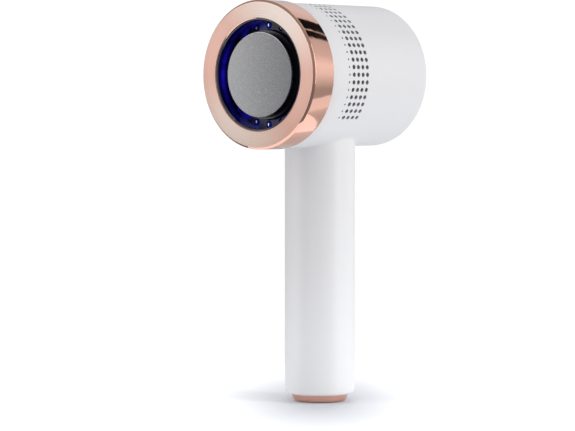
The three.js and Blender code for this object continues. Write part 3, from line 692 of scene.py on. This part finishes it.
def lamp(name, material):
    """A lamp's lens dome."""
    low, high = size_mm(name)
    x, z = (low.x + high.x) / 2, (low.z + high.z) / 2
    r = (high.x - low.x) / 2
    rise, steps = 1.6, 6
    profile = []
    for k in range(steps + 1):
        t = k / steps * math.pi / 2
        profile.append((r * math.sin(t), low.y + rise * (1 - math.cos(t)), 0))
    profile += [(r, high.y, 0), (0, high.y, 0)]

    def place(radius, angle, y):
        return Vector((x + radius * math.cos(angle), y, z + radius * math.sin(angle))) * MM
    bm = turned(profile, 24, place, closed=False)
    finish_piece(name + "_visual", bm, "body", [material], [name])


# ---------------------------------------------------------------- handle
def saddle_z(radius, angle):
    """Height at which the barrel's underside stands over a point round the handle's axis."""
    x = radius * math.cos(angle)
    return HEAD_Z - math.sqrt(BARREL_R ** 2 - x ** 2)


def slot_outline(half_length, half_height, aspect):
    """A slot with round ends."""
    straight = half_length - half_height

    def outline(t):
        c, s = math.cos(t), math.sin(t)
        if abs(s) > 1e-6 and abs(c / s) * half_height <= straight:
            reach = half_height / abs(s)
        else:
            along = straight * abs(c)
            reach = along + math.sqrt(along ** 2 - straight ** 2 + half_height ** 2)
        return reach * c / aspect, reach * s
    return outline


def round_hole(radius):
    """A round hole cut straight through the handle's curve."""
    def outline(t):
        return math.asin(radius * math.cos(t) / HANDLE_R), radius * math.sin(t)
    return outline


def handle():
    """The white tube: a rounded foot end, and a top that flows into the barrel with a small fillet."""
    lip, top, edge = HANDLE_MOUTH_R, SADDLE_START, HANDLE_EDGE
    inner = HANDLE_R - SHELL
    ledge = HANDLE_BOTTOM + 1.9
    plain = HANDLE_BOTTOM + 4            # where the rounded foot end stops
    # A row is (station, outer radius, outer height, inner radius, inner height).
    rows = [(-4.0, lip, HANDLE_BOTTOM + 0.3, lip, ledge), (-3.0, lip + 0.3, HANDLE_BOTTOM, lip, ledge)]
    for k in range(7):
        t = k / 6 * math.pi / 2
        radius = HANDLE_R - edge + edge * math.sin(t)
        height = HANDLE_BOTTOM + edge - edge * math.cos(t)
        rows.append((k / 6 * edge, radius, height, inner, ledge + k / 6 * 0.3))
    rows += [(plain, HANDLE_R, plain, inner, plain), (top, HANDLE_R, top, inner, top)]
    stations = [row[0] for row in rows if row[0] < plain]
    port = [PORT_Z - 4 + k for k in range(9)]
    lights = [LIGHTS_Z - 2.5 + k for k in range(6)]
    button = [BUTTON_Z - 9 + k * 1.5 for k in range(13)]
    stations += [plain] + port + [30 + 10 * k for k in range(6)] + lights + button
    stations += [top + k for k in range(SADDLE_STEPS + 1)]
    step = 2 * math.pi / HANDLE_TURNS
    turns = [i * step for i in range(HANDLE_TURNS)]

    def place(angle, station, depth):
        if station <= top:
            ro, zo, ri, zi = lerp(rows, station)
            return upright_point(ro + (ri - ro) * depth, angle, zo + (zi - zo) * depth)
        # Half of the way up is straight, and the fillet takes the other half.
        share = (station - top) / SADDLE_STEPS
        turn = max(0.0, (share - 0.5) * 2) * math.pi / 2
        radius = HANDLE_R + SADDLE * (1 - math.cos(turn))
        under = saddle_z(radius, angle)
        if share > 0.5:
            z = under - SADDLE * (1 - math.sin(turn))
        else:
            z = top + (under - SADDLE - top) * share * 2
        return upright_point(radius + (inner - radius) * depth, angle, z)

    rear = HANDLE_TURNS // 4
    first_port, first_light, first_button = (stations.index(s[0]) for s in (port, lights, button))
    holes = [(rear - BUTTON_BLOCK, rear + BUTTON_BLOCK, first_button, first_button + len(button) - 1,
              round_hole(BEZEL_R + 0.2)),
             (rear - PORT_BLOCK, rear + PORT_BLOCK, first_port, first_port + len(port) - 1,
              slot_outline(*PORT_HALF, HANDLE_R))]
    for middle in (rear - LIGHT_STEPS, rear + LIGHT_STEPS):
        holes.append((middle - LIGHT_BLOCK, middle + LIGHT_BLOCK, first_light, first_light + len(lights) - 1,
                      round_hole(LIGHT_HOLE_R)))
    bm = pierced_shell(place, turns, stations, holes, HANDLE_R)
    skins = [MATERIALS["white_shell"], SHELL_INSIDE_SHADE, MATERIALS["white_shell"]]
    finish_piece("handle", bm, "body", skins, ["handle_shell"], sharp=40)


def on_handle(name, profile, centre, body, material, replaces=()):
    """A disc or ring that follows the handle's back. The profile is (radius, height over the handle)."""
    x0, z0 = centre

    def place(radius, angle, height):
        x = x0 + radius * math.cos(angle)
        return Vector((x, math.sqrt((HANDLE_R + height) ** 2 - x * x), z0 + radius * math.sin(angle))) * MM
    bm = turned([(r, h, 0) for r, h in profile], 72, place, closed=profile[0][0] > 0)
    finish_piece(name, bm, body, [material], replaces)


def controls():
    """The power button in its bezel, and the two speed lights under it."""
    gold = MATERIALS["rose_gold"]
    b = BUTTON_R
    dish = [(b * k / 10, 0.45 + 0.35 * (k / 10) ** 2) for k in range(9)]
    edge = [(b - 0.45, 0.86), (b - 0.2, 0.8), (b - 0.05, 0.62), (b, 0.4), (b, -2.4), (0, -2.4)]
    middle = (0, BUTTON_Z)
    on_handle("power_button_visual", dish + edge, middle, "button", gold, ["power_button"])
    w = BEZEL_R
    ring = [(b + 0.4, -3), (b + 0.4, 0.1), (b + 0.5, 0.28), (b + 0.7, 0.35),
            (w - 0.25, 0.3), (w, 0.1), (w, -3)]
    mirror = MATERIALS["mirror"]
    on_handle("button_bezel_visual", ring, middle, "body", mirror, ["button_bezel"])
    for i, x in enumerate((-LIGHT_X, LIGHT_X)):
        dome = [(0, 0.12), (0.5, 0.1), (0.85, 0.0), (0.98, -0.2), (1.0, -2.5), (0, -2.5)]
        stands_for = ["speed_indicator"] if i == 0 else []
        on_handle(f"speed_light_{i + 1}", dome, (x, LIGHTS_Z), "body", SPEED_LIGHT, stands_for)


def foot():
    """The tapered gold foot and the rubber sole under it."""
    z0, r0 = foot_low.z, FOOT_BOTTOM_R
    recess, top = z0 + 1.2, z0 + 7.3
    profile = rounded([
        (r0, recess, 0, 0), (r0, z0, 0.1, 0), (r0 + 0.5, z0, 0.25, 0), (r0 + 1.2, z0 + 0.75, 0.7, 0),
        (FOOT_R, z0 + 3.2, 0.8, 0), (FOOT_R, top, 0.2, 0), (0, top, 0, 0), (0, recess, 0, 0),
    ], steps=6)
    bm = turned(profile, 144, upright_point)
    finish_piece("foot_visual", bm, "body", [MATERIALS["rose_gold"]], ["base_foot"])
    r, top = (sole_high.x - sole_low.x) / 2, sole_high.z
    grooves = []
    for radius in (4.0, 7.0, 10.0):
        for offset, height in ((-0.4, 0.0), (-0.25, 0.35), (0.25, 0.35), (0.4, 0.0)):
            grooves.append((radius + offset, height, 0.1, 0))
    rim = [(r - 0.3, 0, 0.2, 0), (r, 0.3, 0.15, 0), (r, top, 0.1, 0), (0, top, 0, 0)]
    sole = rounded([(0, 0, 0, 0)] + grooves + rim, closed=False, steps=3)
    bm = turned(sole, 96, upright_point, closed=False)
    finish_piece("foot_sole", bm, "body", [MATERIALS["rubber"]], ["foot_pad"])


# ---------------------------------------------------------------- everything else keeps its own shape
def inner_pieces():
    """The remaining CAD nodes, with their record's material, smooth turning and softened edges."""
    slots = {row["node"]: row["material_slot"] for row in frame["record"]["subparts"]}
    groups = frame["record"]["behaviour"]["bodies"]
    bodies = {name: body for body, names in groups.items() for name in names}
    for name, obj in frame["nodes"].items():
        if obj.hide_render:
            continue
        material = CUP_FLOOR if name == "dust_cup" else MATERIALS[slots[name]]
        piece = refined(name, material, bodies[name])


# ---------------------------------------------------------------- studio
YAW, PITCH = math.radians(40.71), math.radians(2.63)
DISTANCE = 1266.3                    # from the plane through the handle's axis
AIM_SIDEWAYS, AIM_UP = -16.58, -5.09
AIM_Z = 100.0
LENS = 154.6


def view_axes():
    """The camera's backward, right and up directions."""
    back = Vector((math.sin(YAW) * math.cos(PITCH), -math.cos(YAW) * math.cos(PITCH), math.sin(PITCH)))
    right = Vector((math.cos(YAW), math.sin(YAW), 0))
    return back, right, back.cross(right)


def camera():
    back, right, up = view_axes()
    data = bpy.data.cameras.new("camera")
    data.sensor_width = 36
    data.lens = LENS
    data.clip_start, data.clip_end = 0.01, 50
    made = bpy.data.objects.new("camera", data)
    place = Vector((0, 0, AIM_Z)) + back * DISTANCE + right * AIM_SIDEWAYS + up * AIM_UP
    made.location = place * MM
    made.rotation_mode = "QUATERNION"
    made.rotation_quaternion = (-back).to_track_quat("-Z", "Y")
    bpy.context.scene.collection.objects.link(made)
    bpy.context.scene.camera = made


LIT_POINT = Vector((0, 0, 0.12))      # that the softboxes face, in metres


def area_light(name, direction, distance, width, height, power):
    """A white softbox at a distance in metres, in that direction from the point it faces."""
    data = bpy.data.lights.new(name, "AREA")
    data.shape = "RECTANGLE"
    data.size, data.size_y = width, height
    data.energy = power
    made = bpy.data.objects.new(name, data)
    made.location = LIT_POINT + Vector(direction).normalized() * distance
    made.rotation_euler = (LIT_POINT - made.location).to_track_quat("-Z", "Y").to_euler()
    bpy.context.scene.collection.objects.link(made)


# Brightness of the room behind the object, by the angle about +Y from +X towards +Z, in degrees.
BEHIND_LEVELS = [
    (-180, 0.5), (-75, 0.55), (-60, 0.7), (-55, 1.0), (-36.2, 0.95),                    # pale panel, low
    (-34.6, 0.42), (-22, 0.42), (2, 0.95), (16, 1.05), (32, 0.74), (58, 0.62),          # grey, white and grey
    (60, 0.01), (71, 0.01), (72, 0.7), (73.5, 0.7), (74.5, 0.01), (95, 0.01),           # two dark panels
    (97, 0.75), (120, 0.8), (179, 0.5),
]
PANEL_WAVE = 0.1                     # how far the edges of those panels wander, in radians
FRONT_LOW, FRONT_HIGH = 0.21, 0.36   # brightness in front, below and above
FRONT_RISE = (-0.34, 0.3)            # height of the direction where FRONT_LOW and FRONT_HIGH are reached
BEHIND_FROM = (0.3, 0.5)             # +Y of the direction where the panels fade in
WHITE_LEVEL = 1.05                   # of what the camera sees behind the object


def ramp_of(ramp, levels):
    """Fills a colour ramp with grey levels by angle."""
    while len(ramp.elements) < len(levels):
        ramp.elements.new(1.0)
    for element, (angle, level) in zip(ramp.elements, levels):
        element.position = (angle + 180) / 360
        element.color = (level, level, level, 1)


def studio_world():
    """White behind the object, and a soft grey room with dark panels for the polished metal to reflect."""
    world = bpy.data.worlds.new("studio")
    bpy.context.scene.world = world
    world.use_nodes = True
    tree = world.node_tree
    tree.nodes.clear()
    out = tree.nodes.new("ShaderNodeOutputWorld")
    room, white = tree.nodes.new("ShaderNodeBackground"), tree.nodes.new("ShaderNodeBackground")
    white.inputs["Color"].default_value = (1, 1, 1, 1)
    white.inputs["Strength"].default_value = WHITE_LEVEL
    pick, path = tree.nodes.new("ShaderNodeMixShader"), tree.nodes.new("ShaderNodeLightPath")
    tree.links.new(path.outputs["Is Camera Ray"], pick.inputs["Fac"])
    tree.links.new(room.outputs[0], pick.inputs[1])
    tree.links.new(white.outputs[0], pick.inputs[2])
    tree.links.new(pick.outputs[0], out.inputs["Surface"])

    def step(operation, *values):
        made = tree.nodes.new("ShaderNodeMath")
        made.operation = operation
        for i, value in enumerate(values):
            if isinstance(value, bpy.types.NodeSocket):
                tree.links.new(value, made.inputs[i])
            else:
                made.inputs[i].default_value = value
        return made.outputs[0]

    def ramp(value, low, high, start, end):
        made = tree.nodes.new("ShaderNodeMapRange")
        made.interpolation_type = "SMOOTHSTEP"
        tree.links.new(value, made.inputs["Value"])
        for name, number in (("From Min", low), ("From Max", high), ("To Min", start), ("To Max", end)):
            made.inputs[name].default_value = number
        return made.outputs["Result"]

    where = tree.nodes.new("ShaderNodeTexCoord").outputs["Generated"]
    direction = tree.nodes.new("ShaderNodeSeparateXYZ")
    tree.links.new(where, direction.inputs[0])
    x, y, z = direction.outputs
    wave = tree.nodes.new("ShaderNodeTexNoise")
    wave.inputs["Scale"].default_value = 9
    wave.inputs["Detail"].default_value = 3
    tree.links.new(where, wave.inputs["Vector"])
    waviness = step("MULTIPLY", step("SUBTRACT", wave.outputs["Fac"], 0.5), PANEL_WAVE)
    around = step("ADD", step("ARCTAN2", z, x), waviness)
    panels = tree.nodes.new("ShaderNodeValToRGB")
    ramp_of(panels.color_ramp, BEHIND_LEVELS)
    tree.links.new(step("MULTIPLY_ADD", around, 0.5 / math.pi, 0.5), panels.inputs["Fac"])
    front = ramp(z, *FRONT_RISE, FRONT_LOW, FRONT_HIGH)
    behind = ramp(y, *BEHIND_FROM, 0.0, 1.0)
    level = step("ADD", step("MULTIPLY", front, step("SUBTRACT", 1.0, behind)),
                 step("MULTIPLY", panels.outputs["Color"], behind))
    tree.links.new(level, room.inputs["Strength"])
    room.inputs["Color"].default_value = (0.96, 0.97, 1.0, 1)


FLOOR_R = 170.0
FLOOR_DROP = 0.3                     # below the sole
SHADOW_STRETCH = (1.1, 0.4, 1)       # the floor's painted shadow reaches furthest towards the camera
SHADOW_NEAR, SHADOW_FAR = 12.0, 60.0


def floor():
    """A plain pale sweep, just under the sole. It glows away from the foot, and so goes to white; its dimmer
    glow near the foot is a painted shadow round it.
    """
    bm = bmesh.new()
    bmesh.ops.create_circle(bm, cap_ends=True, segments=96, radius=FLOOR_R * MM)
    mesh = bpy.data.meshes.new("floor")
    bm.to_mesh(mesh)
    bm.free()
    material, shader = new_material("pale_floor", (0.86, 0.88, 0.92), 0.6)
    shader.inputs["Specular IOR Level"].default_value = 0.2
    mottle = noise(material, place_in(material), 30, 2.0)
    color = blend_colors(material, mottle, (0.76, 0.785, 0.84), (0.77, 0.795, 0.85))
    put(material, shader, "Base Color", color)
    shader.inputs["Emission Color"].default_value = (1, 1, 1, 1)
    away = length_of(material, place_in(material, scale=SHADOW_STRETCH))
    # painted shadow: the glow is weakest near the foot
    glow = remap(material, away, SHADOW_NEAR * MM, SHADOW_FAR * MM, 0.09, 0.65)
    put(material, shader, "Emission Strength", glow)
    mesh.materials.append(material)
    made = bpy.data.objects.new("floor", mesh)
    made.location.z = -FLOOR_DROP * MM
    made.rotation_euler.z = YAW
    bpy.context.scene.collection.objects.link(made)


def lights():
    """Distances and sizes in metres, power in watts."""
    back, right, _ = view_axes()
    up = Vector((0, 0, 1))
    area_light("right_softbox", back * 0.5 + right * 0.87 + up * 0.25, 1.1, 0.28, 1.0, 5.5)
    area_light("left_softbox", back * 0.22 - right * 0.97 + up * 0.2, 1.2, 0.8, 1.2, 4.6)
    area_light("top_softbox", (0.3, 0.0, 1.0), 1.2, 0.7, 0.7, 1.5)
    area_light("front_fill", back - right * 0.45 + up * 0.3, 1.25, 0.8, 0.8, 0.6)


barrel()
front_ring()
lit_tube()
abrasive_disc()
for row in ("top", "bottom"):
    for index in (1, 2, 3):
        lamp(f"led_{row}_{index}", LAMPS[index])
handle()
controls()
foot()
inner_pieces()
camera()
studio_world()
floor()
lights()
bpy.context.scene.view_settings.view_transform = "Standard"
